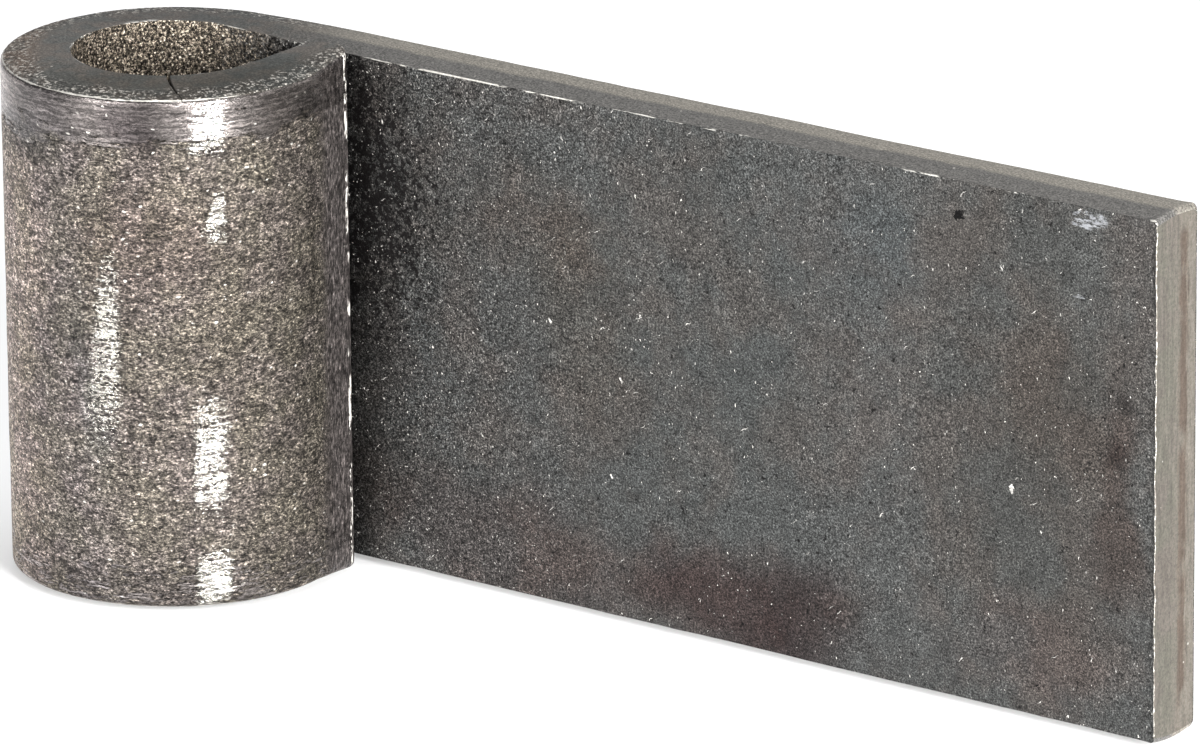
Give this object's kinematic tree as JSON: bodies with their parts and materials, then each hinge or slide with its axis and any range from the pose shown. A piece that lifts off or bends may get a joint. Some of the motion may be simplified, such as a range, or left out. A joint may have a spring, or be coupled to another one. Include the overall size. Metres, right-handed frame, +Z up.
{
  "type": "weld-on hinge leaf with a rolled eye",
  "caption": "Flat steel bar with one end rolled into an open-seamed eye for a hinge pin, and a plain straight leaf to be welded on.",
  "frame": {"origin": "the middle of the rolled eye's bore, on its axis and half way up the bar's width", "axes": "+Z up along the bore axis, +X along the leaf to its cut end, +Y out of the leaf's flat back face"},
  "size_m": [0.1087, 0.0288, 0.046],
  "materials": {
    "scaled_steel": "bare hot-rolled steel with dark mill scale, worn bright in streaks on the barrel, grey at the cut end"
  },
  "bodies": {
    "root": {"hinge_leaf": "scaled_steel"}
  },
  "joints": []
}
